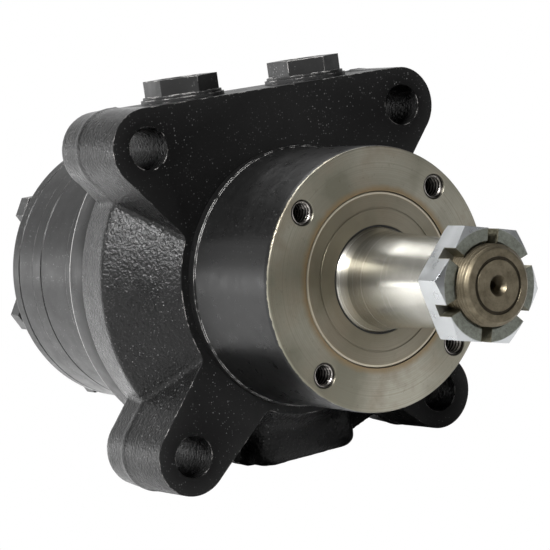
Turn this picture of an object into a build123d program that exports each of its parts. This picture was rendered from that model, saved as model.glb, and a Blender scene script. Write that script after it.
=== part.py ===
from build123d import *
import math
import os

os.makedirs("parts", exist_ok=True)

# Frame: shaft axis along Y, output end at -Y, ports on +Z, y = 0 on the flange's mounting face.

# Mounting flange and casting
mount_half = 52.2
mount_hole_r = 7.15
ear_r = 13.4
arm_flare = 2.4
ear_ridge_y = 24.0
ear_back_y = 38.0
draft = 2.2
draft_back = 3.2
port_face_z = 65.6
disc_r = 47.8
ridge_r = 65.3
band_y = 43.0
band_r = 61.8
rim_y = 54.0
stack_r = 50.8
housing_rear_y = 71.0

# Front hub and its face
hub_r = 43.9
pilot_r = 45.0
pilot_len = 3.5
pilot_blend_y = -9.7
face_y = -46.9
tap_half = 26.55
tap_r = 4.0
tap_depth = 20.0
carrier_r = 29.0
lip_r = 17.9

# Output shaft
journal_r = 17.3
cone_start_y = -51.0
cone_r = 15.875
cone_end_y = -91.0
thread_r = 12.7
shaft_end_y = -108.1
front_race_r = 19.6
collar_r = 26.2
rear_race_r = 21.6
shaft_rear_y = 27.0
key_w = 7.94
key_len = 25.0

# Nut
nut_af = 34.8
nut_back_y = -93.8
nut_front_y = -103.9
nut_turn = 13.8

# Bearings
needle_r = 2.42
running = 0.03

# Rear stack, front to back
wear_y = 78.5
stator_y = 98.3
manifold_y = 105.3
comm_y = 116.5
cover_y = 123.5
bolt_circle_r = 44.0
bolt_r = 3.95
bolt_hole_r = 4.15
head_af = 12.7
head_h = 7.0
bolt_tip_y = 58.5
seal_in_r = 37.6
seal_out_r = 39.4

# Gerotor set: seven rollers, six lobes
rollers = 7
roller_pitch_r = 31.0
roller_r = 6.0
ecc = 2.8
gallery_r = 34.9

# Drive link
link_front_y = 12.0
link_rear_y = 88.4
link_tilt = math.degrees(math.atan2(ecc, link_rear_y - link_front_y))

# Ports
port_x = 25.5
port_y = 19.0
port_r = 11.05
plug_hex_af = 22.2


def facing(y):
    """Plane square to the shaft axis whose extrusions run toward the output end."""
    return Plane(origin=(0, y, 0), x_dir=(1, 0, 0), z_dir=(0, -1, 0))


def turned(points, mode=Mode.ADD):
    """Body of revolution about the shaft axis from (radius, y) corners."""
    with BuildSketch(Plane.XY) as outline:
        with BuildLine():
            Polyline(*points, close=True)
        make_face()
    revolve(outline.sketch, axis=Axis.Y, mode=mode)


def ring(r_in, r_out, y0, y1, mode=Mode.ADD):
    turned([(r_in, y0), (r_out, y0), (r_out, y1), (r_in, y1)], mode)


def rods(radius, y0, y1, centres, mode=Mode.ADD):
    with BuildSketch(facing(y1)) as spots:
        with Locations(*centres):
            Circle(radius)
    extrude(spots.sketch, amount=y1 - y0, mode=mode)


def polar(radius, count, start):
    """Points on a circle about the shaft axis, as (x, z)."""
    step = 2 * math.pi / count
    first = math.radians(start)
    return [(radius * math.cos(first + k * step), radius * math.sin(first + k * step)) for k in range(count)]


def save(solid, label):
    solid.label = label
    export_step(solid, f"parts/{label}.step")


mount_points = [(sx * mount_half, sz * mount_half) for sx in (-1, 1) for sz in (-1, 1)]
tap_points = [(sx * tap_half, sz * tap_half) for sx in (-1, 1) for sz in (-1, 1)]
roller_points = polar(roller_pitch_r, rollers, 270)
bolt_points = polar(bolt_circle_r, rollers, 90)
gallery_points = polar(gallery_r, rollers, 90)
timed_points = polar(28.3, rollers, 90)

# ---------------------------------------------------------------- housing
with BuildPart() as housing:
    turned([
        (carrier_r - 4, face_y), (hub_r - 0.6, face_y), (hub_r, face_y + 1.9), (hub_r, pilot_blend_y),
        (pilot_r - 0.5, -pilot_len), (pilot_r, -pilot_len), (pilot_r, 0), (disc_r, 0),
        (ridge_r, ear_ridge_y), (band_r + 0.6, band_y), (band_r, band_y), (band_r, rim_y),
        (stack_r, rim_y), (stack_r, housing_rear_y), (carrier_r - 4, housing_rear_y),
    ])
    # The two upper arms share one block that carries the ports; the lower ones stand alone
    ear_groups = [[p for p in mount_points if p[1] > 0]] + [[p] for p in mount_points if p[1] < 0]
    grow = ear_ridge_y * math.tan(math.radians(draft))
    for depth, taper in ((ear_ridge_y, draft), (ear_ridge_y - ear_back_y, draft_back)):
        for group in ear_groups:
            with BuildSketch(facing(ear_ridge_y)):
                for x, z in group:
                    with Locations((x, z)):
                        Circle(ear_r + grow)
                    with Locations((0.6 * x, 0.6 * z)):
                        Circle(ear_r + grow + arm_flare)
                make_hull()
            extrude(amount=depth, taper=taper)
    # Foundry belly under the body, with the thin webs that tie it to the lower ears
    with BuildSketch(Plane.XY.offset(-64.8)):
        with Locations((-0.5, 21)):
            RectangleRounded(42, 30, 8)
    extrude(amount=25)
    with BuildSketch(facing(28)):
        Polygon((-36, -59.2), (-20, -64.4), (20, -64.4), (36, -59.2), (42, -48), (-42, -48), align=None)
    extrude(amount=8)
    # Machined flat that carries the ports
    with BuildSketch(Plane.XY.offset(port_face_z)):
        with Locations((0, 20)):
            Rectangle(2 * mount_half - 6, 90)
    extrude(amount=5, mode=Mode.SUBTRACT)
    rods(mount_hole_r, -1, 60, mount_points, Mode.SUBTRACT)
    # Front counterbore, bearing shoulder, rear bearing bore
    ring(0, carrier_r + 0.5, face_y - 1, face_y, Mode.SUBTRACT)
    turned([(0, face_y), (carrier_r + 0.6, face_y), (carrier_r + 0.02, face_y + 0.6),
            (carrier_r + 0.02, -15), (20.6, -15), (20.6, -11), (27.2, -11), (27.2, 1), (30.02, 1),
            (30.02, housing_rear_y), (0, housing_rear_y)], Mode.SUBTRACT)
    ring(33.4, 36.4, housing_rear_y - 3, housing_rear_y, Mode.SUBTRACT)
    # Tapped holes in the face
    rods(tap_r, face_y, face_y + tap_depth, tap_points, Mode.SUBTRACT)
    with Locations(*[Location((x, face_y + 0.4, z), (90, 0, 0)) for x, z in tap_points]):
        Cone(tap_r, tap_r + 0.8, 0.8, mode=Mode.SUBTRACT)
    rods(bolt_r + 0.02, bolt_tip_y - 2, housing_rear_y, bolt_points, Mode.SUBTRACT)
    # Ports, each with its own drilled gallery
    for sx, end in ((1, (14.84, housing_rear_y, 30.82)), (-1, (-9, 60, 19))):
        top = (sx * port_x, port_y, 50)
        with BuildSketch(Plane(origin=top)):
            Circle(port_r)
        extrude(amount=20, mode=Mode.SUBTRACT)
        run = Vector(*end) - Vector(*top)
        with BuildSketch(Plane(origin=top, z_dir=run)):
            Circle(3.0)
        extrude(amount=run.length, mode=Mode.SUBTRACT)
save(housing.part, "housing")

# ---------------------------------------------------------------- front seals and bearings
with BuildPart() as seal_carrier:
    turned([(lip_r, face_y + 0.3), (carrier_r - 0.4, face_y + 0.3), (carrier_r, face_y + 0.7),
            (carrier_r, -36.5), (24.02, -36.5), (24.02, -42), (21.02, -42), (21.02, -45.2), (lip_r, -45.2)])
    ring(23.2, 23.8, face_y + 0.3, face_y + 0.6, Mode.SUBTRACT)
save(seal_carrier.part, "seal_carrier")

with BuildPart() as dust_seal:
    turned([(journal_r + running, -46.3), (lip_r - 0.02, -46.3), (lip_r - 0.02, -45.2), (21, -45.2),
            (21, -42), (journal_r + 1.2, -42), (journal_r + running, -43.5)])
save(dust_seal.part, "dust_seal")

with BuildPart() as shaft_seal:
    turned([(24, -42), (24, -36.5), (22, -36.5), (22, -40), (20, -40), (20, -37.2),
            (journal_r + running, -38.2), (journal_r + running, -39), (18.6, -42)])
save(shaft_seal.part, "shaft_seal")

with BuildPart() as backup_washer:
    ring(journal_r + 0.7, carrier_r - 0.1, -36.5, -35.05)
save(backup_washer.part, "backup_washer")

for label, race_r, y0, y1 in (("front_bearing", front_race_r, -35.05, -15.0), ("rear_bearing", rear_race_r, 2.0, 22.0)):
    pitch_r = race_r + running + needle_r
    outer_r = pitch_r + needle_r + running
    with BuildPart() as cup:
        ring(outer_r, carrier_r if label == "front_bearing" else 30.0, y0, y1)
    save(cup.part, f"{label}_cup")
    with BuildPart() as cage:
        rods(needle_r, y0 + 1.8, y1 - 1.8, polar(pitch_r, 20, 0))
        ring(pitch_r - 1.7, pitch_r + 1.7, y0 + 0.8, y0 + 2.2)
        ring(pitch_r - 1.7, pitch_r + 1.7, y1 - 2.2, y1 - 0.8)
    save(cage.part, f"{label}_rollers")

with BuildPart() as thrust_washer:
    ring(20.7, 26.6, -11, -9.5)
save(thrust_washer.part, "thrust_washer")

with BuildPart() as thrust_bearing:
    ring(20.9, 26.3, -8.5, -7.5)
    for k, (x, z) in enumerate(polar(21.3, 20, 0)):
        with Locations(Location((x, -8, z), (0, -18 * k, 0))):
            Cylinder(1.47, 4.6, rotation=(0, 90, 0), align=(Align.CENTER, Align.CENTER, Align.MIN))
save(thrust_bearing.part, "thrust_bearing")

# ---------------------------------------------------------------- output shaft
with BuildPart() as output_shaft:
    turned([
        (0, shaft_end_y), (thread_r - 1.5, shaft_end_y), (thread_r, shaft_end_y + 1.5), (thread_r, -93.5),
        (12.2, -93.5), (12.2, cone_end_y), (cone_r - (cone_start_y - cone_end_y) / 16, cone_end_y),
        (cone_r, cone_start_y), (journal_r, face_y + 0.2), (journal_r, -35), (front_race_r, -35),
        (front_race_r, -6.5), (collar_r, -6.5), (collar_r, -2), (rear_race_r, -2), (rear_race_r, shaft_rear_y),
        (0, shaft_rear_y),
    ])
    # Lathe centre and the ring turned in the end face
    rods(3.05, shaft_end_y, shaft_end_y + 7, [(0, 0)], Mode.SUBTRACT)
    ring(8.0, 8.8, shaft_end_y, shaft_end_y + 0.4, Mode.SUBTRACT)
    # Spline socket for the drive link
    rods(10.6, -4, shaft_rear_y, [(0, 0)], Mode.SUBTRACT)
    with BuildSketch(facing(shaft_rear_y)) as teeth:
        with PolarLocations(0, 12):
            with Locations((11, 0)):
                Rectangle(3.2, 3.4)
    extrude(teeth.sketch, amount=shaft_rear_y + 1, mode=Mode.SUBTRACT)
    # Keyway square to the cone, on the +X side
    key_plane = Plane(origin=(cone_r - 22.5 / 16, -73.5, 0), x_dir=(1 / 16, 1, 0), z_dir=(1, -1 / 16, 0))
    with BuildSketch(key_plane.offset(-key_w / 2)):
        SlotOverall(key_len + 0.02, key_w + 0.02)
    extrude(amount=10, mode=Mode.SUBTRACT)
save(output_shaft.part, "output_shaft")

with BuildPart() as shaft_key:
    with BuildSketch(key_plane.offset(-key_w / 2)):
        SlotOverall(key_len, key_w)
    extrude(amount=key_w)
save(shaft_key.part, "shaft_key")

with BuildPart() as slotted_nut:
    with BuildSketch(facing(nut_back_y)):
        Polygon(*polar(nut_af / math.sqrt(3), 6, 180 - nut_turn), align=None)
    extrude(amount=nut_back_y - nut_front_y)
    turned([(thread_r, nut_back_y), (19.2, nut_back_y), (20.2, nut_back_y - 0.6), (20.2, -102.5),
            (17.4, nut_front_y), (thread_r, nut_front_y)], Mode.INTERSECT)
    rods(thread_r + 0.02, nut_front_y, nut_back_y, [(0, 0)], Mode.SUBTRACT)
    turned([(0, nut_front_y), (thread_r + 0.9, nut_front_y), (thread_r, nut_front_y + 0.9), (0, nut_front_y + 0.9)],
           Mode.SUBTRACT)
    # Castle slots, one in the middle of each flat
    with BuildSketch(facing(nut_front_y + 5.6)) as slots:
        with Locations(Location((0, 0), 30 - nut_turn)):
            with PolarLocations(16, 6):
                Rectangle(12, 3.8)
    extrude(slots.sketch, amount=6, mode=Mode.SUBTRACT)
save(slotted_nut.part, "slotted_nut")

# ---------------------------------------------------------------- drive link
# Dog-bone link: its front spline centre stays on the shaft axis, its rear one rides with the rotor.
link_plane = Plane(origin=(0, link_front_y, 0), x_dir=(1, 0, 0),
                   z_dir=(0, link_rear_y - link_front_y, -ecc))
with BuildPart(link_plane) as drive_link:
    for z0, z1, r in ((-12, 12, 9.9), (12, 67.5, 9.0), (67.5, 85.3, 9.9), (85.3, 99.5, 4.0)):
        with Locations((0, 0, z0)):
            Cylinder(r, z1 - z0, align=(Align.CENTER, Align.CENTER, Align.MIN))
    for z0, z1 in ((-12, 12), (67.5, 85.3)):
        with BuildSketch(link_plane.offset(z0)) as teeth:
            with PolarLocations(0, 12):
                with Locations((10.5, 0)):
                    Rectangle(3.0, 2.3)
        extrude(teeth.sketch, amount=z1 - z0)
save(drive_link.part, "drive_link")

# ---------------------------------------------------------------- rear stack
with BuildPart() as wear_plate:
    ring(15, stack_r, housing_rear_y, wear_y)
    for y0, y1 in ((housing_rear_y, housing_rear_y + 1.3), (wear_y - 1.3, wear_y)):
        ring(seal_in_r, seal_out_r, y0, y1, Mode.SUBTRACT)
    rods(bolt_hole_r, housing_rear_y, wear_y, bolt_points, Mode.SUBTRACT)
    rods(1.9, housing_rear_y, wear_y, gallery_points, Mode.SUBTRACT)
save(wear_plate.part, "wear_plate")

with BuildPart() as stator_ring:
    turned([(roller_pitch_r, wear_y), (stack_r, wear_y), (stack_r, stator_y - 0.5),
            (stack_r - 0.5, stator_y), (roller_pitch_r, stator_y)])
    rods(roller_r + 0.04, wear_y, stator_y, roller_points, Mode.SUBTRACT)
    rods(bolt_hole_r, wear_y, stator_y, bolt_points, Mode.SUBTRACT)
    rods(1.9, wear_y, stator_y, gallery_points, Mode.SUBTRACT)
save(stator_ring.part, "stator_ring")

for k, spot in enumerate(roller_points):
    with BuildPart() as roller:
        rods(roller_r, wear_y + running, stator_y - running, [spot])
    save(roller.part, f"roller_{k + 1}")

# Six-lobed rotor, generated from the roller circle so that it touches all seven at once
lobes = []
for k in range(360):
    t = 2 * math.pi * k / 360
    lean = math.atan2(math.sin(6 * t), roller_pitch_r / (7 * ecc) - math.cos(6 * t))
    a = roller_pitch_r * math.cos(t) - (roller_r + 0.04) * math.cos(t - lean) - ecc * math.cos(7 * t)
    b = roller_pitch_r * math.sin(t) - (roller_r + 0.04) * math.sin(t - lean) - ecc * math.sin(7 * t)
    lobes.append((b, -a - ecc))
with BuildPart() as rotor:
    with BuildSketch(facing(stator_y - running)):
        with BuildLine():
            Spline(*lobes, periodic=True)
        make_face()
        with Locations((0, -ecc)):
            Circle(10.6, mode=Mode.SUBTRACT)
            with PolarLocations(0, 12):
                with Locations((11, 0)):
                    Rectangle(3.2, 3.4, mode=Mode.SUBTRACT)
    extrude(amount=stator_y - wear_y - 2 * running)
save(rotor.part, "rotor")

with BuildPart() as manifold:
    turned([(14, stator_y), (stack_r - 0.5, stator_y), (stack_r, stator_y + 0.5), (stack_r, manifold_y),
            (14, manifold_y)])
    for y0, y1 in ((stator_y, stator_y + 1.3), (manifold_y - 1.3, manifold_y)):
        ring(seal_in_r, seal_out_r, y0, y1, Mode.SUBTRACT)
    rods(bolt_hole_r, stator_y, manifold_y, bolt_points, Mode.SUBTRACT)
    rods(1.9, stator_y, manifold_y, gallery_points, Mode.SUBTRACT)
    rods(2.2, stator_y, manifold_y, timed_points, Mode.SUBTRACT)
save(manifold.part, "manifold")

with BuildPart() as commutator_ring:
    turned([(37, manifold_y), (stack_r, manifold_y), (stack_r, comm_y - 0.5), (stack_r - 0.5, comm_y),
            (37, comm_y)])
    rods(bolt_hole_r, manifold_y, comm_y, bolt_points, Mode.SUBTRACT)
save(commutator_ring.part, "commutator_ring")

with BuildPart() as commutator:
    rods(27, manifold_y + running, comm_y - running, [(0, -ecc)])
    rods(5.1, manifold_y, 113.5, [(0, -ecc)], Mode.SUBTRACT)
    rods(12, manifold_y, 108, [(0, -ecc)], Mode.SUBTRACT)
    rods(2.6, manifold_y, 112, [(x, z - ecc) for x, z in polar(21.5, 6, 0)], Mode.SUBTRACT)
    rods(2.6, manifold_y, comm_y, [(x, z - ecc) for x, z in polar(27, 6, 30)], Mode.SUBTRACT)
    with BuildSketch(facing(comm_y)) as groove:
        with Locations((0, -ecc)):
            Circle(16.5)
            Circle(14, mode=Mode.SUBTRACT)
    extrude(groove.sketch, amount=1.5, mode=Mode.SUBTRACT)
save(commutator.part, "commutator")

with BuildPart() as commutator_seal:
    with BuildSketch(facing(comm_y - running)):
        with Locations((0, -ecc)):
            Circle(16.48)
            Circle(14.02, mode=Mode.SUBTRACT)
    extrude(amount=1.44)
save(commutator_seal.part, "commutator_seal")

with BuildPart() as end_cover:
    turned([(0, comm_y), (stack_r - 0.5, comm_y), (stack_r, comm_y + 0.5), (stack_r, cover_y), (0, cover_y)])
    fillet(end_cover.faces().sort_by(Axis.Y)[-1].edges(), 2.2)
    ring(seal_in_r, seal_out_r, comm_y, comm_y + 1.3, Mode.SUBTRACT)
    rods(bolt_hole_r, comm_y, cover_y, bolt_points, Mode.SUBTRACT)
save(end_cover.part, "end_cover")

seal_starts = [housing_rear_y + 0.02, wear_y - 1.27, stator_y + 0.02, manifold_y - 1.27, comm_y + 0.02]
for k, y in enumerate(seal_starts):
    with BuildPart() as section_seal:
        ring(seal_in_r + 0.05, seal_out_r - 0.05, y, y + 1.25)
    save(section_seal.part, f"section_seal_{k + 1}")

with BuildPart() as end_cover_bolts:
    rods(bolt_r, bolt_tip_y, cover_y, bolt_points)
    with BuildSketch(facing(cover_y + head_h)) as heads:
        for x, z in bolt_points:
            with Locations((x, z)):
                RegularPolygon(head_af / 2, 6, major_radius=False)
    extrude(heads.sketch, amount=head_h)
    tops = end_cover_bolts.faces().filter_by(Axis.Y).sort_by(Axis.Y)[-7:]
    chamfer(tops.edges(), 0.7)
save(end_cover_bolts.part, "end_cover_bolts")

# ---------------------------------------------------------------- port plugs
for label, x, turn in (("left", -port_x, 26.9), ("right", port_x, 31.2)):
    with BuildPart() as plug:
        for z0, z1, r in ((52, 66.9, 11.0), (66.9, 67.8, 13.6)):
            with BuildSketch(Plane.XY.offset(z0)):
                with Locations((x, port_y)):
                    Circle(r)
            extrude(amount=z1 - z0)
        with BuildSketch(Plane.XY.offset(67.8)):
            with Locations((x, port_y)):
                RegularPolygon(plug_hex_af / 2, 6, major_radius=False, rotation=turn)
        extrude(amount=5.5)
        with BuildSketch(Plane.XY.offset(73.3)):
            with Locations((x, port_y)):
                Circle(7.5)
        extrude(amount=-0.6, mode=Mode.SUBTRACT)
    save(plug.part, f"port_plug_{label}")
    with BuildPart() as plug_washer:
        with BuildSketch(Plane.XY.offset(port_face_z)):
            with Locations((x, port_y)):
                Circle(14.4)
                Circle(11.05, mode=Mode.SUBTRACT)
        extrude(amount=1.3)
    save(plug_washer.part, f"plug_washer_{label}")
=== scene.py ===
"""Looks of a wheel-mount hydraulic motor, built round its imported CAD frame."""
import math

import bmesh
import bpy
import numpy as np
import openvdb
from mathutils import Matrix, Vector


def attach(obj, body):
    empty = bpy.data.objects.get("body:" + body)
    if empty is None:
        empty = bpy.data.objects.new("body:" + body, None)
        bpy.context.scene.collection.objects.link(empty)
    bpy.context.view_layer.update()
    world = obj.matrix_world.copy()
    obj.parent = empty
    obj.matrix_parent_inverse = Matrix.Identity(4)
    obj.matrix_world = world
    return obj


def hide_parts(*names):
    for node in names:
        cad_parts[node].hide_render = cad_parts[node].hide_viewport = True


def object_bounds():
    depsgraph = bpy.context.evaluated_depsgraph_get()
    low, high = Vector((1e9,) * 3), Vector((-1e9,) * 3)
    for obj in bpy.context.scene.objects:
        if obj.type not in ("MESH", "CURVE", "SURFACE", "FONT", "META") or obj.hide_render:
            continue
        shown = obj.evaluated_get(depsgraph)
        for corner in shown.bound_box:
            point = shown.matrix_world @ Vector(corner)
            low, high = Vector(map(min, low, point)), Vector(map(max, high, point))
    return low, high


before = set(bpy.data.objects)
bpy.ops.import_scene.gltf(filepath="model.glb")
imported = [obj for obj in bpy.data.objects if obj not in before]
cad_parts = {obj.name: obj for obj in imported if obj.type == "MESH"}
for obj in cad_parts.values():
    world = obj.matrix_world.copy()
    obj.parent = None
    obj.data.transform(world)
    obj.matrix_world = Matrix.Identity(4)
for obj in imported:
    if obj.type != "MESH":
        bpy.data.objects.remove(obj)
cad_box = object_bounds()

MM = 0.001
CASE = "motor_case"
SHAFT = "shaft"

# Camera: sensor and lens in millimetres, turn in degrees, place in metres
SENSOR = 36.0
LENS = 137.68
AZIMUTH, ELEVATION, ROLL = -32.23, 6.98, -7.97
CAMERA_PLACE = (-0.39194, -0.60515, 0.08971)

# Studio: how bright the sweep behind and the room in front are, and how high the sweep reaches
BACK_GLOW = 1.3
FRONT_GLOW = 0.075
SWEEP_TOP = 0.42
FLOOR_HALF = 8.0

# Softboxes: place and size in metres, power in watts
SOFTBOXES = {
    "left": ((-1.3, -0.43, 1.09), (0.5, 0.35), 70),
    "top": ((0.0, 0.6, 1.6), (1.0, 1.0), 32),
    "front_right": ((1.1, -1.7, 0.35), (2.4, 1.8), 10.5),
    "back_left": ((-1.6, 2.2, -0.12), (2.2, 0.9), 26),
}

# Casting, in millimetres from here on, in the frame's axes
EAR_HALF = 52.2
EAR_R = 13.37
EAR_BACK_Y = 38.0
ARM_FLARE = 2.4
ARM_REACH = 0.4 * EAR_HALF * math.sqrt(2)
HOLE_R = 7.15
BLOCK_Z = 43.0
PORT_Z = 65.6
PORT_X = 25.5
PORT_Y = 19.0
PORT_R = 11.05
PORT_FLOOR_Z = 50.0
PORT_FACE_HALF = 49
DISC_R = 47.8
RIDGE_R = 65.3
RIDGE_Y = 24.0
RIM_DRAFT = 0.152
DRAFT = math.tan(math.radians(2.2))
DRAFT_BACK = math.tan(math.radians(3.2))
PARTING_RISE = 0.22
PARTING_HALF = 1.6
BAND_Y = 43.0
CORE_R = 38.0
CASTING_PITCH = 0.76
CASTING_LOW = (-68.8, -2.4, -68.0)
CASTING_HIGH = (69.0, 46.0, 69.0)

# Foundry belly: a rounded box in plan with a flat underside
BELLY_X, BELLY_Y = -0.5, 21
BELLY_HALF_X, BELLY_HALF_Y = 13, 7
BELLY_R = 8
BELLY_Z = -64.8
BELLY_TOP_Z = -40

# Webs that tie the belly to the lower ears: where they start, and how they rise outward
TIE_X, TIE_Z = 20, -64.4
TIE_RUN, TIE_RISE, TIE_SLANT = 16, 5.3, 16.85
TIE_END_X = 40
TIE_HALF_Y = 4
TIE_MID_Z, TIE_HALF_Z = -52, 12.4

# Turned parts of the housing
FACE_Y = -46.9
HUB_R = 43.9
PILOT_R = 45.0
BLIND_R = 38.9
BAND_R = 61.8
BAND_END_Y = 54.0
SPIGOT_R = 50.8
SPIGOT_Y = 71.0
BORE_R = 30.02
CUP_R = 27.2
SHAFT_HOLE_R = 20.6
CARRIER_SEAT_R = 29.02
RUST_RING_R = 29.4

# Tapped holes in the machined face
TAP_HALF = 26.55
TAP_R = 4.0
TAP_DEPTH = 20.0
TAP_PITCH = 1.6
TAP_THREAD_DEPTH = 0.72
TAP_PLACES = {"upper_left": (-1, 1), "upper_right": (1, 1), "lower_left": (-1, -1), "lower_right": (1, -1)}

# Output shaft
END_Y = -108.1
THREAD_R = 12.7
THREAD_PITCH = 1.27
THREAD_DEPTH = 0.75
THREAD_START_Y = -93.2
NECK_R = 12.2
TAPER_END_Y = -51.0
JOURNAL_Y = -46.7
JOURNAL_R = 17.3
BODY_R = 19.6
COLLAR_R = 26.2
TAIL_R = 21.6
SOCKET_R = 10.6

# Slotted nut: turn of its slots about the shaft in degrees, and the step between them in radians
NUT_TURN = 13.8
SLOT_STEP = math.radians(60)


# ------------------------------------------------------------------ mesh helpers
def mesh_object(name, verts, faces, body):
    """A mesh piece from millimetre points that rides on a CAD body."""
    mesh = bpy.data.meshes.new(name)
    mesh.from_pydata([tuple(v) for v in np.asarray(verts) * MM], [], [tuple(f) for f in faces])
    mesh.update()
    piece = bpy.data.objects.new(name, mesh)
    bpy.context.collection.objects.link(piece)
    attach(piece, body)
    return piece


def lathe(profile, segments):
    """Vertices and quads of a closed (radius, y) outline turned about the shaft axis."""
    angles = np.arange(segments) * 2 * np.pi / segments
    verts = [(r * math.cos(a), y, r * math.sin(a)) for a in angles for r, y in profile]
    rows = len(profile)
    faces = []
    for i in range(segments):
        j = (i + 1) % segments
        for k in range(rows):
            m = (k + 1) % rows
            faces.append((i * rows + k, j * rows + k, j * rows + m, i * rows + m))
    return verts, faces


def smooth_by_angle(piece, degrees):
    """Smooth shading with the edges sharper than this left crisp."""
    piece.data.polygons.foreach_set("use_smooth", [True] * len(piece.data.polygons))
    bm = bmesh.new()
    bm.from_mesh(piece.data)
    limit = math.radians(degrees)
    for edge in bm.edges:
        edge.smooth = len(edge.link_faces) == 2 and edge.calc_face_angle(0) < limit
    bm.to_mesh(piece.data)
    bm.free()


def outward(piece, weld=0.0):
    """Turn every face outward, after joining the points that lie closer than weld, in metres."""
    bm = bmesh.new()
    bm.from_mesh(piece.data)
    if weld:
        bmesh.ops.remove_doubles(bm, verts=bm.verts, dist=weld)
    bmesh.ops.recalc_face_normals(bm, faces=bm.faces)
    bm.to_mesh(piece.data)
    bm.free()


# ------------------------------------------------------------------ casting
def lattice_noise(rng, x, y, z, size):
    """Smooth value noise from -1 to 1 whose cells are size millimetres wide."""
    table = rng.uniform(-1, 1, (64, 64, 64)).astype(np.float32)
    cells = []
    parts = []
    for axis in (x, y, z):
        cell = np.floor(axis / size)
        part = axis / size - cell
        cells.append(cell.astype(np.int32))
        parts.append((part * part * (3 - 2 * part)).astype(np.float32))
    total = 0
    for corner in range(8):
        offs = [corner >> n & 1 for n in range(3)]
        weight = 1
        for n in range(3):
            weight = weight * (parts[n] if offs[n] else 1 - parts[n])
        index = [(cells[n] + offs[n]) % 64 for n in range(3)]
        total = total + weight * table[index[0], index[1], index[2]]
    return total


def smooth_min(a, b, width):
    """The smaller of two distances, with the corner between them filled over this width."""
    h = np.clip(0.5 + 0.5 * (b - a) / width, 0, 1)
    return b + (a - b) * h - width * h * (1 - h)


def smooth_max(a, b, width):
    """The larger of two distances, with the corner between them rounded over this width."""
    return -smooth_min(-a, -b, width)


def ears_field(x, y, z):
    """Bolt ears, their arms and the block over the ports, drafted both ways from a parting ridge."""
    ax, az = np.abs(x), np.abs(z)
    ridge = PARTING_RISE * np.clip(PARTING_HALF - np.abs(y - RIDGE_Y), 0, 1)
    grow = np.where(y < RIDGE_Y, (y - RIDGE_Y) * DRAFT, (RIDGE_Y - y) * DRAFT_BACK)
    grow = grow + RIDGE_Y * DRAFT - PARTING_RISE * np.clip(y / RIDGE_Y, 0, 1) + ridge
    inward = ((EAR_HALF - ax) + (EAR_HALF - az)) / math.sqrt(2)
    aside = np.abs(ax - az) / math.sqrt(2)
    ear = np.hypot(aside, inward - np.clip(inward, 0, ARM_REACH)) - EAR_R
    ear = ear - ARM_FLARE * np.clip(inward / ARM_REACH, 0, 1)
    block = np.maximum(ax - EAR_HALF, np.abs(z - BLOCK_Z) - (PORT_Z - BLOCK_Z))
    block = np.maximum(block, (ax - z) / math.sqrt(2) - EAR_R - ARM_FLARE * inward / ARM_REACH)
    return smooth_max(np.minimum(ear, block) - grow, y - EAR_BACK_Y, 2.0)


def belly_field(x, y, z):
    """The foundry belly under the casting."""
    qx, qy = np.abs(x - BELLY_X) - BELLY_HALF_X, np.abs(y - BELLY_Y) - BELLY_HALF_Y
    plan = np.hypot(np.maximum(qx, 0), np.maximum(qy, 0)) + np.minimum(np.maximum(qx, qy), 0) - BELLY_R
    return np.maximum(smooth_max(plan, BELLY_Z - z, 4.5), z - BELLY_TOP_Z)


def tie_field(x, y, z):
    """The two webs between the belly and the lower ears."""
    ax = np.abs(x)
    slant = ((ax - TIE_X) * TIE_RISE - (z - TIE_Z) * TIE_RUN) / TIE_SLANT
    sides = np.maximum(np.abs(y - RIDGE_Y) - TIE_HALF_Y, np.abs(z - TIE_MID_Z) - TIE_HALF_Z)
    return np.maximum(np.maximum(slant, ax - TIE_END_X), sides)


def casting_field(x, y, z, rng):
    """Signed distance to the cast part of the housing, negative in the metal."""
    r = np.hypot(x, z)
    ax, az = np.abs(x), np.abs(z)
    from_hole = np.hypot(ax - EAR_HALF, az - EAR_HALF) - HOLE_R
    # Conical web between the mounting face and the parting ridge, then the drafted rear rim
    widening = RIDGE_R - DISC_R
    cone = ((r - DISC_R) * RIDGE_Y - y * widening) / math.hypot(RIDGE_Y, widening)
    rim = (r - RIDGE_R) + (y - RIDGE_Y) * RIM_DRAFT
    ears = ears_field(x, y, z)
    field = smooth_min(smooth_max(cone, rim, 0.8), ears, 1.3)
    field = smooth_min(field, tie_field(x, y, z), 2.0)
    field = smooth_min(field, belly_field(x, y, z), 2.5)
    # Foundry waviness, strongest on the side webs, fades out on the machined places
    fade = np.clip(np.minimum(np.minimum(PORT_Z + 2 - z, from_hole), y + 1) / 3, 0, 1)
    rough = fade * np.clip(1 + 0.8 * (ears - 1.5) / 3, 0.55, 1.8) * np.clip((26 - y) / 3, 0.5, 1)
    field = field + fade * 0.05 * lattice_noise(rng, x, y, z, 8.0)
    field = field + rough * 0.045 * lattice_noise(rng, x, y, z, 1.7)
    # Machined port face, core, mounting holes and port bores
    field = np.where(ax < PORT_FACE_HALF, np.maximum(field, z - PORT_Z), field)
    field = np.maximum(field, CORE_R - r)
    field = np.maximum(field, -from_hole)
    port = np.minimum(PORT_R - np.hypot(ax - PORT_X, y - PORT_Y), z - PORT_FLOOR_Z)
    return np.maximum(field, port)


def face_off(bm, height, side):
    """Cut the mesh off at this height, in millimetres, and close it with a flat cap."""
    cut = bmesh.ops.bisect_plane(bm, geom=bm.verts[:] + bm.edges[:] + bm.faces[:],
                                 plane_co=(0, height * MM, 0), plane_no=(0, side, 0), clear_outer=True)
    rim = [e for e in cut["geom_cut"] if isinstance(e, bmesh.types.BMEdge)]
    bmesh.ops.triangle_fill(bm, edges=rim, use_beauty=True)


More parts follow.
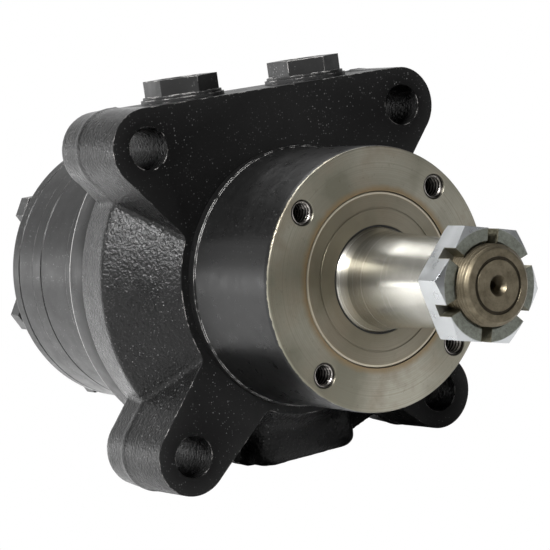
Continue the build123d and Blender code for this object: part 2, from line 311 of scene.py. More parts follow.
def simplify_core(bm):
    """Merge the small faces of the hidden core wall, leaving the caps out at the ears alone."""
    def in_core(vert):
        return math.hypot(vert.co.x, vert.co.z) < (CORE_R + 0.4) * MM

    def leads_near(edge):
        return any(in_core(v) and edge.other_vert(v).co.length < 80 * MM for v in edge.verts)

    verts = [v for v in bm.verts if in_core(v)]
    edges = [e for e in bm.edges if leads_near(e)]
    bmesh.ops.dissolve_limit(bm, angle_limit=0.12, verts=verts, edges=edges)


def store_attribute(mesh, name, values):
    """Keep one value per point for the material to read."""
    layer = mesh.attributes.new(name, "FLOAT", "POINT")
    layer.data.foreach_set("value", np.asarray(values, dtype=np.float32))


def mark_regions(mesh):
    """How coarse the sand skin is: full on webs and rim, lighter on ears, none where machined."""
    points = np.array([v.co for v in mesh.vertices]) / MM
    ax, y, z = np.abs(points[:, 0]), points[:, 1], points[:, 2]
    r = np.hypot(points[:, 0], z)
    ear = np.hypot(ax - EAR_HALF, np.abs(z) - EAR_HALF)
    off_ears = ear > EAR_R + 4
    on_web = (y > 0.5) & (y < RIDGE_Y + 0.5) & (r < RIDGE_R + 1) & off_ears
    on_rim = (y > RIDGE_Y) & (r < RIDGE_R + 0.6) & off_ears
    machined = (y < 0.05) | ((z > PORT_Z - 0.5) & (ax < PORT_FACE_HALF))
    store_attribute(mesh, "sand", np.where(machined, 0.0, np.where(on_web | on_rim, 1.0, 0.7)))
    store_attribute(mesh, "bore", ear < HOLE_R + 0.4)


def build_casting(paint):
    """The cast skin: a distance field meshed at an even pitch, then faced off front and rear."""
    axes = [np.arange(a, b, CASTING_PITCH, dtype=np.float32) for a, b in zip(CASTING_LOW, CASTING_HIGH)]
    x, y, z = np.meshgrid(*axes, indexing="ij")
    field = casting_field(x, y, z, np.random.default_rng(7))
    grid = openvdb.FloatGrid(background=3.0)
    grid.copyFromArray(np.clip(field, -3, 3).astype(np.float32))
    points, quads = grid.convertToQuads(isovalue=0.0)
    points = points * CASTING_PITCH + np.array(CASTING_LOW)
    piece = mesh_object("housing_casting", points, quads, CASE)
    bm = bmesh.new()
    bm.from_mesh(piece.data)
    face_off(bm, 0.0, -1)
    face_off(bm, BAND_Y, 1)
    simplify_core(bm)
    bmesh.ops.recalc_face_normals(bm, faces=bm.faces)
    # Flat shading where the casting is faced off, smooth over the rest but for its sharp corners
    front, rear = 1e-5, BAND_Y * MM - 1e-5
    for face in bm.faces:
        face.smooth = any(front < v.co.y < rear for v in face.verts)
    for edge in bm.edges:
        edge.smooth = edge.calc_face_angle(0) < 0.7
    bm.to_mesh(piece.data)
    bm.free()
    mark_regions(piece.data)
    piece.data.materials.append(paint)
    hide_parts("housing")


# ------------------------------------------------------------------ turned pieces
def carve(piece, cutters):
    """Cut the cutters out of a closed piece, then throw them away."""
    for cutter in cutters:
        step = piece.modifiers.new("cut", "BOOLEAN")
        step.object = cutter
        step.solver = "EXACT"
    depsgraph = bpy.context.evaluated_depsgraph_get()
    cut = bpy.data.meshes.new_from_object(piece.evaluated_get(depsgraph))
    piece.modifiers.clear()
    piece.data = cut
    for cutter in cutters:
        bpy.data.objects.remove(cutter)


def tap_cutter(sx, sz):
    """A tapped hole with its countersink, as a solid to cut out of the machined face."""
    mouth = TAP_R + 0.4
    outline = [(0, -TAP_DEPTH), (TAP_R, -TAP_DEPTH), (TAP_R, -0.4), (mouth, 0.05), (mouth, 2), (0, 2)]
    verts, faces = lathe([(r, FACE_Y - y) for r, y in outline], 48)
    verts = [(x + sx * TAP_HALF, y, z + sz * TAP_HALF) for x, y, z in verts]
    cutter = mesh_object("cutter", verts, faces, CASE)
    outward(cutter, weld=1e-7)
    return cutter


def build_turned_housing(look):
    """Hub, machined face, pilot and bores in front, and the plain band and spigot behind the casting."""
    hub = [(CARRIER_SEAT_R + 0.08, FACE_Y), (HUB_R - 0.7, FACE_Y), (HUB_R - 0.35, FACE_Y + 0.25),
           (HUB_R - 0.05, FACE_Y + 1.7), (HUB_R, FACE_Y + 2.3), (HUB_R, -9.7)]
    pilot = [(PILOT_R - 0.5, -3.7), (PILOT_R - 0.15, -3.5), (PILOT_R, -3.3), (PILOT_R, 0.4)]
    under_casting = [(BLIND_R, 0.4), (BLIND_R, BAND_Y - 0.4)]
    band = [(BAND_R + 0.5, BAND_Y - 0.4), (BAND_R, BAND_Y + 0.2), (BAND_R, BAND_END_Y - 0.5),
            (BAND_R - 0.15, BAND_END_Y - 0.13), (BAND_R - 0.5, BAND_END_Y)]
    spigot = [(SPIGOT_R + 0.5, BAND_END_Y), (SPIGOT_R, BAND_END_Y + 0.4), (SPIGOT_R, SPIGOT_Y)]
    bores = [(BORE_R, SPIGOT_Y), (BORE_R, 1.0), (CUP_R, 1.0), (CUP_R, -11.0), (SHAFT_HOLE_R, -11.0),
             (SHAFT_HOLE_R, -15.0), (CARRIER_SEAT_R, -15.0), (CARRIER_SEAT_R, FACE_Y + 0.08)]
    verts, faces = lathe(hub + pilot + under_casting + band + spigot + bores, 288)
    piece = mesh_object("housing_turned", verts, faces, CASE)
    outward(piece, weld=1e-7)
    piece.data.materials.append(look)
    carve(piece, [tap_cutter(sx, sz) for sx in (-1, 1) for sz in (-1, 1)])
    smooth_by_angle(piece, 32)
    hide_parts("housing")


def thread_grid(pitch, low, high, segments):
    """Angles and heights of an even grid round a screw thread, nine rows to a turn."""
    rows = int((high - low) / pitch * 9)
    angles = np.arange(segments) * 2 * np.pi / segments
    return np.meshgrid(angles, np.linspace(low, high, rows + 1), indexing="ij")


def grid_tube(name, points, outer, centre):
    """A thin closed sleeve whose inside wall is the given (turn, height) grid of points."""
    turns, rows = points.shape[:2]
    shell = points.copy()
    away = shell[:, :, [0, 2]] - np.array(centre)
    length = np.linalg.norm(away, axis=-1, keepdims=True)
    shell[:, :, [0, 2]] = np.array(centre) + away / length * outer
    verts = np.concatenate([points.reshape(-1, 3), shell.reshape(-1, 3)])
    inner = np.arange(turns * rows).reshape(turns, rows)
    after = np.roll(inner, -1, axis=0)
    faces = []
    for i in range(turns):
        for k in range(rows - 1):
            wall = (inner[i, k], after[i, k], after[i, k + 1], inner[i, k + 1])
            faces.append(wall)
            faces.append(tuple(wall[n] + turns * rows for n in (0, 3, 2, 1)))
        for k in (0, rows - 1):
            faces.append((inner[i, k], after[i, k], after[i, k] + turns * rows, inner[i, k] + turns * rows))
    piece = mesh_object(name, verts, faces, CASE)
    outward(piece)
    smooth_by_angle(piece, 60)
    return piece


def build_tap_threads(look):
    """Thread walls inside the four tapped holes of the machined face."""
    a, y = thread_grid(TAP_PITCH, FACE_Y + 0.45, FACE_Y + 14, 40)
    phase = (y / TAP_PITCH + a / (2 * np.pi)) % 1
    r = TAP_R - TAP_THREAD_DEPTH * np.clip(1 - np.abs(phase - 0.5) * 2.4, 0, 1) - 0.01
    for name, (sx, sz) in TAP_PLACES.items():
        centre = (sx * TAP_HALF, sz * TAP_HALF)
        points = np.stack([r * np.cos(a) + centre[0], y, r * np.sin(a) + centre[1]], -1)
        piece = grid_tube("tap_thread_" + name, points, TAP_R + 0.5, centre)
        piece.data.materials.append(look)


def shaft_thread(segments):
    """Angle, height and radius grids of the shaft's single-start thread, chamfered at both ends."""
    a, y = thread_grid(THREAD_PITCH, END_Y + 0.1, THREAD_START_Y - 0.2, segments)
    phase = (y / THREAD_PITCH - a / (2 * np.pi)) % 1
    flank = np.clip(np.abs(phase - 0.5) * 2.6 - 0.15, 0, 1)
    r = THREAD_R - THREAD_DEPTH * (1 - flank)
    r = np.minimum(r, 11.2 + np.abs(y - END_Y))
    r = np.minimum(r, 12.0 + np.abs(y - THREAD_START_Y))
    return a, y, r


def build_shaft(look):
    """The output shaft turned in one piece, with a cut thread up to its chamfered end."""
    segments = 180
    centre_hole = [(0, -101.1), (1.5, -101.6), (1.5, END_Y + 3.1), (3.3, END_Y)]
    ring_groove = [(7.9, END_Y), (8.05, END_Y + 0.4), (8.75, END_Y + 0.4), (8.9, END_Y), (11.0, END_Y)]
    neck = [(NECK_R, THREAD_START_Y), (NECK_R, -91.1)]
    taper = [(13.2, -91.0), (13.5, -90.7), (15.875, TAPER_END_Y)]
    journal = [(JOURNAL_R - 0.25, JOURNAL_Y - 0.4), (JOURNAL_R, JOURNAL_Y), (JOURNAL_R, -35)]
    inside = [(BODY_R, -35), (BODY_R, -6.5), (COLLAR_R, -6.5), (COLLAR_R, -2), (TAIL_R, -2), (TAIL_R, 27)]
    socket = [(SOCKET_R, 27), (SOCKET_R, -4), (0, -4)]
    a, y, r = shaft_thread(segments)
    angles = a[:, 0]

    def ring(radius, height):
        return np.stack([radius * np.cos(angles), height + 0 * angles, radius * np.sin(angles)], -1)

    rings = [ring(*point) for point in centre_hole + ring_groove]
    rings += [ring(r[:, k], y[:, k]) for k in range(y.shape[1])]
    rings += [ring(*point) for point in neck + taper + journal + inside + socket]
    points = np.stack(rings, 1)
    rows = len(rings)
    faces = []
    for i in range(segments):
        j = (i + 1) % segments
        for k in range(rows - 1):
            faces.append((i * rows + k, j * rows + k, j * rows + k + 1, i * rows + k + 1))
    piece = mesh_object("output_shaft_turned", points.reshape(-1, 3), faces, SHAFT)
    outward(piece, weld=1e-7)
    smooth_by_angle(piece, 28)
    piece.data.materials.append(look)
    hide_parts("output_shaft")


# ------------------------------------------------------------------ shader helpers
def add(tree, kind, sockets=(), **settings):
    """One shader node, its settings, and its inputs as values or links."""
    node = tree.nodes.new("ShaderNode" + kind)
    for key, value in settings.items():
        setattr(node, key, value)
    for key, value in dict(sockets).items():
        if isinstance(value, bpy.types.NodeSocket):
            tree.links.new(value, node.inputs[key])
        else:
            node.inputs[key].default_value = value
    return node


def input_name(key):
    """A shader input's name from its form with underscores."""
    return key.replace("_", " ").title().replace("Ior", "IOR")


def feed(tree, shader, **sockets):
    """Link each value to the shader input of that name."""
    for key, value in sockets.items():
        tree.links.new(value, shader.inputs[input_name(key)])


def calc(tree, operation, *values):
    """One Math node on values or links."""
    return add(tree, "Math", dict(enumerate(values)), operation=operation).outputs[0]


def product(tree, first, *factors):
    """All the values multiplied together."""
    for factor in factors:
        first = calc(tree, "MULTIPLY", first, factor)
    return first


def remap(tree, value, low, high, to_low=0.0, to_high=1.0):
    """A value carried from one range to another and held at its ends."""
    ends = {"From Min": low, "From Max": high, "To Min": to_low, "To Max": to_high}
    return add(tree, "MapRange", {"Value": value, **ends}).outputs["Result"]


def between(tree, value, rise, fall):
    """1 from the end of the rise to the end of the fall, 0 outside the two."""
    return product(tree, remap(tree, value, *rise), remap(tree, value, *fall))


def blend(tree, fac, a, b):
    """Colour a where the factor is 0, b where it is 1."""
    return add(tree, "Mix", {0: fac, 6: a, 7: b}, data_type="RGBA").outputs[2]


def mix_value(tree, fac, a, b):
    """Value a where the factor is 0, b where it is 1."""
    return add(tree, "Mix", {0: fac, 2: a, 3: b}).outputs[0]


def grey(value, warmth=0.0):
    """A grey, made yellower by its warmth."""
    return (value * (1 + warmth), value, value * (1 - warmth), 1)


def grain(tree, coords, size, detail=2.0, roughness=0.5, distortion=0.0):
    """Noise from 0 to 1 whose features are about size millimetres wide."""
    sockets = {"Vector": coords, "Scale": 0.5 / (size * MM), "Detail": detail, "Roughness": roughness,
               "Distortion": distortion}
    return add(tree, "TexNoise", sockets).outputs["Fac"]


def cutter_lines(tree, along, scale, detail, roughness=0.5):
    """Noise from 0 to 1 that changes only with one distance, as the marks of a lathe do."""
    sockets = {"W": along, "Scale": scale, "Detail": detail, "Roughness": roughness}
    return add(tree, "TexNoise", sockets, noise_dimensions="1D").outputs["Fac"]


def polar_coords(tree, coords):
    """Radius from the shaft axis, then y, x and z, all in millimetres."""
    scaled = add(tree, "VectorMath", {0: coords, "Scale": 1 / MM}, operation="SCALE").outputs["Vector"]
    split = add(tree, "SeparateXYZ", {"Vector": scaled}).outputs
    square = calc(tree, "ADD", product(tree, split["X"], split["X"]), product(tree, split["Z"], split["Z"]))
    return calc(tree, "SQRT", square), split["Y"], split["X"], split["Z"]


def material(name, **surface):
    """A Principled material; returns it with its tree, shader and object coordinates."""
    made = bpy.data.materials.new(name)
    made.use_nodes = True
    tree = made.node_tree
    shader = tree.nodes["Principled BSDF"]
    for key, value in surface.items():
        shader.inputs[input_name(key)].default_value = value
    coords = add(tree, "TexCoord").outputs["Object"]
    return made, tree, shader, coords


def bump(tree, shader, height, strength, distance, normal=None):
    """Raise the surface by this height and make the result the shader's normal."""
    sockets = {"Height": height, "Strength": strength, "Distance": distance * MM}
    if normal is not None:
        sockets["Normal"] = normal
    raised = add(tree, "Bump", sockets).outputs["Normal"]
    feed(tree, shader, normal=raised)
    return raised


def rounded(tree, radius):
    """Normals that run softly over edges, as on a part whose edges are broken."""
    return add(tree, "Bevel", {"Radius": radius * MM}, samples=4).outputs["Normal"]


def edge_wear(tree, normal):
    """1 on sharp edges, 0 on flats, from how far the softened normal leans."""
    true = add(tree, "NewGeometry").outputs["Normal"]
    dot = add(tree, "VectorMath", {0: normal, 1: true}, operation="DOT_PRODUCT").outputs["Value"]
    return remap(tree, calc(tree, "SUBTRACT", 1.0, dot), 0.004, 0.05)


# ------------------------------------------------------------------ materials
PAINT_SHINE = 0.21
DULL_SHINE = 0.07

# Colours: each pair is the darker and the lighter end of one surface
IRON = (0.2, 0.193, 0.15, 1), (0.42, 0.405, 0.34, 1)
IRON_SMEAR = (0.21, 0.165, 0.115, 1)
IRON_LINE = (0.2, 0.18, 0.135, 1)
IRON_SPOT = (0.12, 0.1, 0.07, 1)
RUST = (0.27, 0.19, 0.1, 1)
# Painted shade for the inside of the tapped holes and bores behind the face
HOLE_SHADE = (0.06, 0.055, 0.045, 1)
CARRIER_OIL = (0.17, 0.14, 0.095, 1)
# Painted highlight on the seal carrier's lip
CARRIER_LIP_HIGHLIGHT = (0.62, 0.57, 0.46, 1)
STEEL_OIL = (0.16, 0.14, 0.085, 1)
GROUND = (0.44, 0.43, 0.385, 1), (0.56, 0.55, 0.505, 1)
GROUND_SCUFF = (0.42, 0.40, 0.33, 1)
# Painted highlight on the chamfer in front of the journal
GROUND_CHAMFER_HIGHLIGHT = (0.8, 0.79, 0.74, 1)
BROWN = (0.13, 0.11, 0.075, 1), (0.22, 0.19, 0.135, 1)
BROWN_GROOVE = (0.03, 0.025, 0.018, 1)
ZINC = (0.52, 0.54, 0.55, 1), (0.64, 0.655, 0.665, 1)
ZINC_NICK = (0.34, 0.34, 0.30, 1)
NUT_FACE = (0.17, 0.178, 0.15, 1), (0.27, 0.285, 0.25, 1)
NUT_SLOT = (0.15, 0.125, 0.07, 1)


def dust_specks(tree, coords):
    """Tiny scattered specks, most of them faint."""
    speck = add(tree, "TexVoronoi", {"Vector": coords, "Scale": 1 / (0.8 * MM)}, feature="F1")
    rare = add(tree, "SeparateColor", {"Color": speck.outputs["Color"]}).outputs[0]
    near = remap(tree, speck.outputs["Distance"], 0.3, 0.12)
    lit = calc(tree, "POWER", remap(tree, rare, 0.35, 1.0), 3.0)
    patch = remap(tree, grain(tree, coords, 11.0, 3.0), 0.4, 0.62, 0.15, 1.0)
    return product(tree, near, lit, patch)


def paint_material(name, cast, roughness=(0.24, 0.38), tone=0.004, chips=0.8):
    """Satin black paint: sandy where it covers a casting, with dust specks and rubbed edges."""
    made, tree, shader, coords = material(name, specular_ior_level=PAINT_SHINE)
    normal = rounded(tree, 0.45)
    colour = blend(tree, grain(tree, coords, 9.0, 3.0), grey(tone * 0.7), grey(tone * 1.5))
    colour = blend(tree, dust_specks(tree, coords), colour, grey(0.24))
    patchy = remap(tree, grain(tree, coords, 2.5, 5.0, 0.65), 0.5, 0.58)
    worn = product(tree, edge_wear(tree, normal), patchy, chips)
    feed(tree, shader, base_color=blend(tree, worn, colour, grey(0.4, 0.03)))
    rough = remap(tree, grain(tree, coords, 3.0, 4.0), 0.3, 0.7, *roughness)
    fine = grain(tree, coords, 0.45, 3.0, 0.6)
    if cast:
        bore = add(tree, "Attribute", attribute_name="bore").outputs["Fac"]
        sand = add(tree, "Attribute", attribute_name="sand").outputs["Fac"]
        feed(tree, shader, specular_ior_level=remap(tree, bore, 0.0, 1.0, PAINT_SHINE, DULL_SHINE))
        rough = calc(tree, "ADD", rough, remap(tree, sand, 0.0, 0.3, 0.16, 0.0))
        pebble = grain(tree, coords, 0.52, 2.6, 0.58, 0.1)
        first = bump(tree, shader, pebble, remap(tree, sand, 0.0, 1.0, 0.02, 1.0), 0.42, normal)
        bump(tree, shader, fine, remap(tree, sand, 0.0, 1.0, 0.3, 0.5), 0.08, first)
    else:
        bump(tree, shader, fine, 0.1, 0.06, normal)
    feed(tree, shader, roughness=rough)
    return made


def face_metal(tree, coords, ragged):
    """Colour and cutter lines of the olive grey iron at the front, with rust near the inner ring, and a
    painted reflection that makes it darker toward the upper left and lighter toward the lower right.
    """
    radius, _, across, up = polar_coords(tree, coords)
    ring_line = cutter_lines(tree, radius, 1.9, 5.0, 0.6)
    # Painted reflection: the iron is painted darker toward the upper left and lighter toward the lower
    # right
    fade = remap(tree, calc(tree, "SUBTRACT", across, up), -48, 48, -0.3, 0.3)
    cloud = calc(tree, "ADD", remap(tree, grain(tree, coords, 14.0, 4.0), 0.38, 0.62), fade)
    tone = blend(tree, cloud, *IRON)
    smear = remap(tree, grain(tree, coords, 7.0, 5.0, 0.6), 0.48, 0.66, 0.0, 0.45)
    tone = blend(tree, smear, tone, IRON_SMEAR)
    tone = blend(tree, remap(tree, ring_line, 0.35, 0.7, 0.0, 0.3), tone, IRON_LINE)
    spots = remap(tree, grain(tree, coords, 1.0, 5.0, 0.7), 0.6, 0.72)
    tone = blend(tree, product(tree, spots, 0.35), tone, IRON_SPOT)
    from_ring = calc(tree, "SUBTRACT", calc(tree, "ADD", radius, ragged), RUST_RING_R)
    rust = remap(tree, calc(tree, "ABSOLUTE", from_ring), 2.0, 0.2)
    return blend(tree, product(tree, rust, 0.75), tone, RUST), ring_line


def machined_housing_material():
    """Paint over the hub and band, bare turned iron on the face, with a ragged line between them."""
    made, tree, shader, coords = material("housing_turned", specular_ior_level=PAINT_SHINE)
    radius, height, _, _ = polar_coords(tree, coords)
    normal = rounded(tree, 0.4)
    # Where the paint lies
    ragged = product(tree, calc(tree, "SUBTRACT", grain(tree, coords, 1.6, 4.0, 0.65), 0.5), 1.8)
    painted = remap(tree, calc(tree, "ADD", height, ragged), FACE_Y + 0.55, FACE_Y + 0.8)
    painted = product(tree, painted, remap(tree, radius, HUB_R - 1.3, HUB_R - 0.9))
    # Paint: dusty, chipped at its edges, with a light line along the rear edge of the band that is partly
    # rubbed paint and partly a painted highlight
    paint = blend(tree, grain(tree, coords, 12.0, 3.0), grey(0.003), grey(0.006))
    paint = blend(tree, dust_specks(tree, coords), paint, grey(0.06))
    patchy = remap(tree, grain(tree, coords, 1.5, 4.0), 0.42, 0.55)
    paint = blend(tree, product(tree, edge_wear(tree, normal), patchy, 0.8), paint, grey(0.42, 0.02))
    rear_edge_rub_and_highlight = product(tree, remap(tree, height, BAND_END_Y - 0.8, BAND_END_Y - 0.5),
                        remap(tree, radius, BAND_R - 0.8, BAND_R - 0.5))
    paint = blend(tree, rear_edge_rub_and_highlight, paint, grey(0.4, 0.02))
    band = between(tree, height, (BAND_Y - 1, BAND_Y), (BAND_END_Y - 0.6, BAND_END_Y - 0.9))
    # Bare iron, with painted shade that darkens it inside the tapped holes and the bores behind the face
    iron, ring_line = face_metal(tree, coords, ragged)
    hole_shade = product(tree, remap(tree, height, FACE_Y + 0.04, FACE_Y + 0.2),
                   remap(tree, radius, HUB_R - 0.9, HUB_R - 1.3), 0.9)
    iron = blend(tree, hole_shade, iron, HOLE_SHADE)
    iron_rough = remap(tree, ring_line, 0.3, 0.7, 0.34, 0.44)
    paint_rough = remap(tree, grain(tree, coords, 2.0, 4.0), 0.3, 0.7, 0.26, 0.36)
    feed(tree, shader,
         base_color=blend(tree, painted, iron, paint),
         metallic=calc(tree, "SUBTRACT", 1.0, painted),
         roughness=mix_value(tree, painted, iron_rough, paint_rough),
         specular_ior_level=remap(tree, band, 0.0, 1.0, PAINT_SHINE, 0.08))
    depth = calc(tree, "SUBTRACT", 0.12, product(tree, painted, 0.1))
    turning = bump(tree, shader, ring_line, depth, 0.05, normal)
    bump(tree, shader, grain(tree, coords, 0.4, 3.0), 0.08, 0.05, turning)
    return made


def carrier_material():
    """The turned disc inside the machined face, brown with oil inside its lip, which carries a painted
    highlight.
    """
    made, tree, shader, coords = material("seal_carrier", metallic=1.0)
    radius, _, _, _ = polar_coords(tree, coords)
    ragged = product(tree, calc(tree, "SUBTRACT", grain(tree, coords, 1.6, 4.0), 0.5), 2.0)
    tone, ring_line = face_metal(tree, coords, ragged)
    tone = blend(tree, 0.45, tone, CARRIER_OIL)
    # Painted highlight: a bright ring on the lip's chamfer
    lip = between(tree, radius, (27.9, 28.1), (29.2, 29.0))
    tone = blend(tree, product(tree, lip, 0.85), tone, CARRIER_LIP_HIGHLIGHT)
    feed(tree, shader, base_color=tone, roughness=remap(tree, ring_line, 0.3, 0.7, 0.34, 0.46))
    first = bump(tree, shader, ring_line, 0.15, 0.05, rounded(tree, 0.3))
    bump(tree, shader, grain(tree, coords, 0.4, 3.0), 0.1, 0.05, first)
    return made


def steel_material(name, tone, warmth, roughness, lines=0.0, stain=0.0):
    """Bare steel with cutter lines round the shaft axis and darker oily stains."""
    made, tree, shader, coords = material(name, metallic=1.0)
    _, height, _, _ = polar_coords(tree, coords)
    line = cutter_lines(tree, height, 3.5, 5.0, 0.65)
    cloud = grain(tree, coords, 5.0, 5.0, 0.6)
    colour = blend(tree, cloud, grey(tone * 0.85, warmth), grey(tone * 1.1, warmth * 0.6))
    dirty = product(tree, remap(tree, grain(tree, coords, 2.6, 5.0, 0.65), 0.45, 0.62), stain)
    rough = remap(tree, line, 0.3, 0.7, roughness * 0.8, roughness * 1.25)
    rough = calc(tree, "ADD", rough, product(tree, dirty, 0.3))
    feed(tree, shader, base_color=blend(tree, dirty, colour, STEEL_OIL), roughness=rough)
    first = bump(tree, shader, line, lines, 0.03, rounded(tree, 0.25))
    bump(tree, shader, grain(tree, coords, 0.35, 3.0), 0.06, 0.04, first)
    return made


def tap_thread_material():
    """Thread crests painted bright over roots painted dark as shade, and painted shade that darkens the
    thread deeper in the hole.
    """
    made, tree, shader, coords = material("tap_thread", metallic=1.0)
    _, height, across, up = polar_coords(tree, coords)
    across = calc(tree, "SUBTRACT", calc(tree, "ABSOLUTE", across), TAP_HALF)
    up = calc(tree, "SUBTRACT", calc(tree, "ABSOLUTE", up), TAP_HALF)
    square = calc(tree, "ADD", product(tree, across, across), product(tree, up, up))
    # Painted shade: roots painted dark, crests bright, and the thread painted darker deeper in the hole
    crest = remap(tree, calc(tree, "SQRT", square), 3.75, 3.4)
    crest = product(tree, crest, remap(tree, height, FACE_Y + 0.4, FACE_Y + 8.9, 1.0, 0.3))
    feed(tree, shader,
         base_color=blend(tree, crest, grey(0.02, 0.1), grey(0.62, 0.06)),
         roughness=remap(tree, grain(tree, coords, 1.0, 3.0), 0.3, 0.7, 0.3, 0.42))
    bump(tree, shader, grain(tree, coords, 0.35, 3.0), 0.1, 0.04)
    return made


def shaft_material():
    """Ground journal and taper, then a brown oily thread and end face."""
    made, tree, shader, coords = material("output_shaft", metallic=1.0, anisotropic=0.3,
                                          anisotropic_rotation=0.25)
    feed(tree, shader, tangent=add(tree, "Tangent", direction_type="RADIAL", axis="Y").outputs[0])
    radius, height, _, _ = polar_coords(tree, coords)
    line = cutter_lines(tree, height, 2.5, 5.0, 0.7)
    face_line = cutter_lines(tree, radius, 2.5, 4.0)
    # Ground steel, scuffed, with a painted highlight on the chamfer in front of the journal
    bright = blend(tree, grain(tree, coords, 6.0, 5.0), *GROUND)
    scuffs = remap(tree, grain(tree, coords, 1.6, 6.0, 0.7, 1.5), 0.58, 0.7)
    bright = blend(tree, product(tree, scuffs, 0.35), bright, GROUND_SCUFF)
    chamfer = between(tree, height, (TAPER_END_Y - 0.1, TAPER_END_Y + 0.1),
                      (JOURNAL_Y - 0.1, JOURNAL_Y - 0.3))
    bright = blend(tree, chamfer, bright, GROUND_CHAMFER_HIGHLIGHT)
    # Brown oil, and the turned ring of the end face painted darker still
    brown = blend(tree, remap(tree, grain(tree, coords, 1.8, 5.0, 0.65), 0.35, 0.65), *BROWN)
    groove = between(tree, radius, (7.8, 7.95), (8.95, 8.8))
    brown = blend(tree, product(tree, groove, 0.85), brown, BROWN_GROOVE)
    oily = remap(tree, calc(tree, "ADD", height, grain(tree, coords, 1.2, 3.0)), -92.0, -92.8)
    ground_rough = remap(tree, line, 0.3, 0.7, 0.2, 0.28)
    oily_rough = remap(tree, face_line, 0.3, 0.7, 0.42, 0.55)
    feed(tree, shader,
         base_color=blend(tree, oily, bright, brown),
         roughness=mix_value(tree, oily, ground_rough, oily_rough))
    slight = product(tree, oily, 0.2)
    ground = bump(tree, shader, line, 0.05, 0.03, rounded(tree, 0.3))
    turned = bump(tree, shader, face_line, slight, 0.04, ground)
    bump(tree, shader, grain(tree, coords, 0.3, 3.0), slight, 0.05, turned)
    return made


def nut_material():
    """Bright zinc on the flats and corners, dull grey-green on the front face and in the slots."""
    made, tree, shader, coords = material("slotted_nut", metallic=1.0)
    radius, height, across, up = polar_coords(tree, coords)
    # Where it is dull: the slots, the front face inside its corners, and the bore
    turned_by = math.radians(NUT_TURN) + SLOT_STEP / 2
    angle = calc(tree, "ADD", calc(tree, "ARCTAN2", up, across), turned_by)
    from_slot = calc(tree, "WRAP", angle, SLOT_STEP / 2, -SLOT_STEP / 2)
    beside = calc(tree, "ABSOLUTE", product(tree, radius, calc(tree, "SINE", from_slot)))
    in_slot = product(tree, remap(tree, beside, 2.1, 1.98), remap(tree, height, -98.15, -98.35))
    front = product(tree, remap(tree, height, -103.3, -103.6), remap(tree, radius, 17.6, 17.2))
    inner = product(tree, remap(tree, radius, 13.9, 13.6), remap(tree, height, -98.0, -98.4))
    dull = calc(tree, "MAXIMUM", calc(tree, "MAXIMUM", in_slot, front), inner)
    zinc = blend(tree, grain(tree, coords, 4.0, 4.0), *ZINC)
    nicks = remap(tree, grain(tree, coords, 0.9, 5.0, 0.7), 0.6, 0.68)
    zinc = blend(tree, product(tree, nicks, 0.1), zinc, ZINC_NICK)
    mottle = remap(tree, grain(tree, coords, 0.55, 5.0, 0.75), 0.38, 0.6)
    dark = blend(tree, mottle, *NUT_FACE)
    dark = blend(tree, product(tree, in_slot, 0.6), dark, NUT_SLOT)
    dull_rough = remap(tree, mottle, 0.0, 1.0, 0.4, 0.55)
    bright_rough = remap(tree, grain(tree, coords, 2.0, 4.0), 0.3, 0.7, 0.25, 0.36)
    feed(tree, shader,
         base_color=blend(tree, dull, zinc, dark),
         roughness=mix_value(tree, dull, bright_rough, dull_rough))
    pitting = remap(tree, dull, 0.0, 1.0, 0.06, 0.35)
    coat = bump(tree, shader, grain(tree, coords, 0.5, 4.0, 0.7), pitting, 0.08, rounded(tree, 0.12))
    bump(tree, shader, grain(tree, coords, 0.25, 2.0), 0.05, 0.03, coat)
    return made


def rubber_material():
    """Dull black rubber."""
    made, tree, shader, coords = material("seal_rubber", specular_ior_level=0.35)
    feed(tree, shader,
         base_color=blend(tree, grain(tree, coords, 3.0, 3.0), grey(0.012), grey(0.028)),
         roughness=remap(tree, grain(tree, coords, 1.2, 3.0), 0.3, 0.7, 0.45, 0.65))
    bump(tree, shader, grain(tree, coords, 0.4, 3.0), 0.15, 0.06)
    return made


# ------------------------------------------------------------------ studio
def white_to_camera(tree, output, white, other):
    """White to the camera's own rays, and the other shader to light and reflections."""
    seen = add(tree, white, {"Color": (1, 1, 1, 1), "Strength": 1.0})
    path = add(tree, "LightPath")
    shaders = {0: path.outputs["Is Camera Ray"], 1: other.outputs[0], 2: seen.outputs[0]}
    mix = add(tree, "MixShader", shaders)
    tree.links.new(mix.outputs[0], add(tree, output).inputs["Surface"])


def build_floor():
    """Floor that is even white to the camera; to light it is pale behind and dark in front."""
    floor_z = cad_box[0][2]
    corners = [(-1, -1), (1, -1), (1, 1), (-1, 1)]
    mesh = bpy.data.meshes.new("floor")
    verts = [(sx * FLOOR_HALF, sy * FLOOR_HALF, floor_z) for sx, sy in corners]
    mesh.from_pydata(verts, [], [(0, 1, 2, 3)])
    floor = bpy.data.objects.new("floor", mesh)
    bpy.context.collection.objects.link(floor)
    look = bpy.data.materials.new("floor")
    look.use_nodes = True
    tree = look.node_tree
    tree.nodes.clear()
    along = add(tree, "SeparateXYZ", {"Vector": add(tree, "TexCoord").outputs["Object"]}).outputs["Y"]
    shade = blend(tree, remap(tree, along, -0.3, 0.2), grey(0.2), grey(0.88))
    glow = add(tree, "BsdfDiffuse", {"Color": shade})
    white_to_camera(tree, "OutputMaterial", "Emission", glow)
    mesh.materials.append(look)


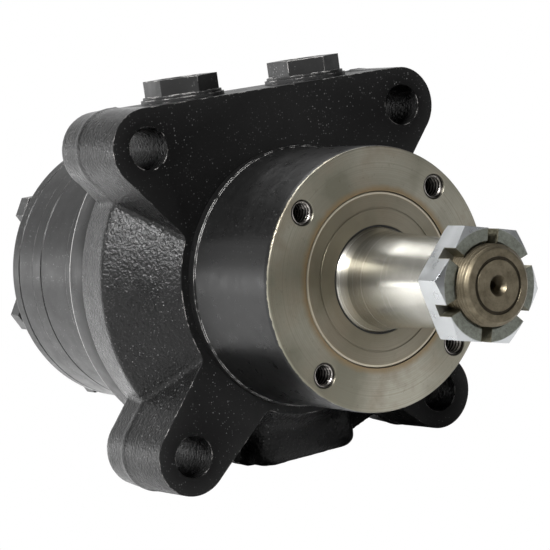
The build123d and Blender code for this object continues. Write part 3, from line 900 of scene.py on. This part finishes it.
def build_world():
    """A white sweep behind the motor and a dim room in front of it."""
    world = bpy.data.worlds.new("studio")
    bpy.context.scene.world = world
    world.use_nodes = True
    tree = world.node_tree
    tree.nodes.clear()
    aim = add(tree, "SeparateXYZ", {"Vector": add(tree, "TexCoord").outputs["Generated"]}).outputs
    sweep = remap(tree, aim["Y"], -0.1, 0.45, FRONT_GLOW, BACK_GLOW)
    below_top = remap(tree, aim["Z"], SWEEP_TOP - 0.12, SWEEP_TOP + 0.12, 1.0, 0.3)
    off_left = remap(tree, aim["X"], -0.6, -0.2, 0.6, 1.0)
    strength = product(tree, sweep, below_top, off_left)
    room = add(tree, "Background", {"Color": (1, 1, 1, 1), "Strength": strength})
    white_to_camera(tree, "OutputWorld", "Background", room)


def softbox(name, place, size, power):
    """A rectangular soft light that faces the motor."""
    data = bpy.data.lights.new(name, "AREA")
    data.shape = "RECTANGLE"
    data.size, data.size_y = size
    data.energy = power
    lamp = bpy.data.objects.new(name, data)
    lamp.location = place
    lamp.rotation_euler = (-Vector(place)).to_track_quat("-Z", "Y").to_euler()
    lamp.visible_camera = False
    bpy.context.collection.objects.link(lamp)


def build_camera():
    """The camera at its fitted place and turn."""
    data = bpy.data.cameras.new("camera")
    data.sensor_width = SENSOR
    data.lens = LENS
    camera = bpy.data.objects.new("camera", data)
    azimuth, elevation, roll = (math.radians(a) for a in (AZIMUTH, ELEVATION, ROLL))
    right = Vector((math.cos(azimuth), math.sin(azimuth), 0))
    back = Vector((math.sin(azimuth) * math.cos(elevation), -math.cos(azimuth) * math.cos(elevation),
                   math.sin(elevation)))
    up = back.cross(right)
    across = math.cos(roll) * right + math.sin(roll) * up
    upward = -math.sin(roll) * right + math.cos(roll) * up
    turn = Matrix((across, upward, back)).transposed().to_4x4()
    camera.matrix_world = Matrix.Translation(CAMERA_PLACE) @ turn
    bpy.context.collection.objects.link(camera)
    bpy.context.scene.camera = camera


def build_studio():
    """Camera, floor, surroundings and lights."""
    build_camera()
    build_floor()
    build_world()
    for name, (place, size, power) in SOFTBOXES.items():
        softbox(name, place, size, power)
    bpy.context.scene.view_settings.view_transform = "Standard"


# ------------------------------------------------------------------ assembly
def dress(names, look):
    """Give every listed CAD node this material."""
    for name in names:
        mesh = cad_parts[name].data
        mesh.materials.clear()
        mesh.materials.append(look)


def dress_cad_nodes():
    """Materials for the CAD nodes that show as they are, outside and in."""
    ring_paint = paint_material("ring_paint", False, (0.34, 0.44), 0.004, 0.2)
    plug_paint = paint_material("plug_paint", False, (0.34, 0.5), 0.018, 1.0)
    turned_steel = steel_material("turned_steel", 0.42, 0.06, 0.36, lines=0.2, stain=0.25)
    bearing_steel = steel_material("bearing_steel", 0.6, 0.0, 0.12)
    hard_steel = steel_material("hard_steel", 0.45, 0.02, 0.22, lines=0.1)
    section_seals = ["section_seal_%d" % n for n in range(1, 6)]
    rollers = ["roller_%d" % n for n in range(1, 8)]
    bearings = ["front_bearing_cup", "front_bearing_rollers", "rear_bearing_cup", "rear_bearing_rollers"]
    plugs = ["port_plug_left", "port_plug_right", "plug_washer_left", "plug_washer_right"]
    dress(["slotted_nut"], nut_material())
    dress(["seal_carrier"], carrier_material())
    dress(["thrust_washer", "backup_washer"], turned_steel)
    dress(["wear_plate", "stator_ring", "manifold", "commutator_ring", "end_cover"], ring_paint)
    dress(["end_cover_bolts"] + plugs, plug_paint)
    dress(["dust_seal", "shaft_seal"] + section_seals, rubber_material())
    dress(bearings + ["thrust_bearing"], bearing_steel)
    dress(["rotor", "drive_link", "commutator", "commutator_seal", "shaft_key"] + rollers, hard_steel)


build_casting(paint_material("cast_paint", True))
build_turned_housing(machined_housing_material())
build_tap_threads(tap_thread_material())
build_shaft(shaft_material())
dress_cad_nodes()
build_studio()
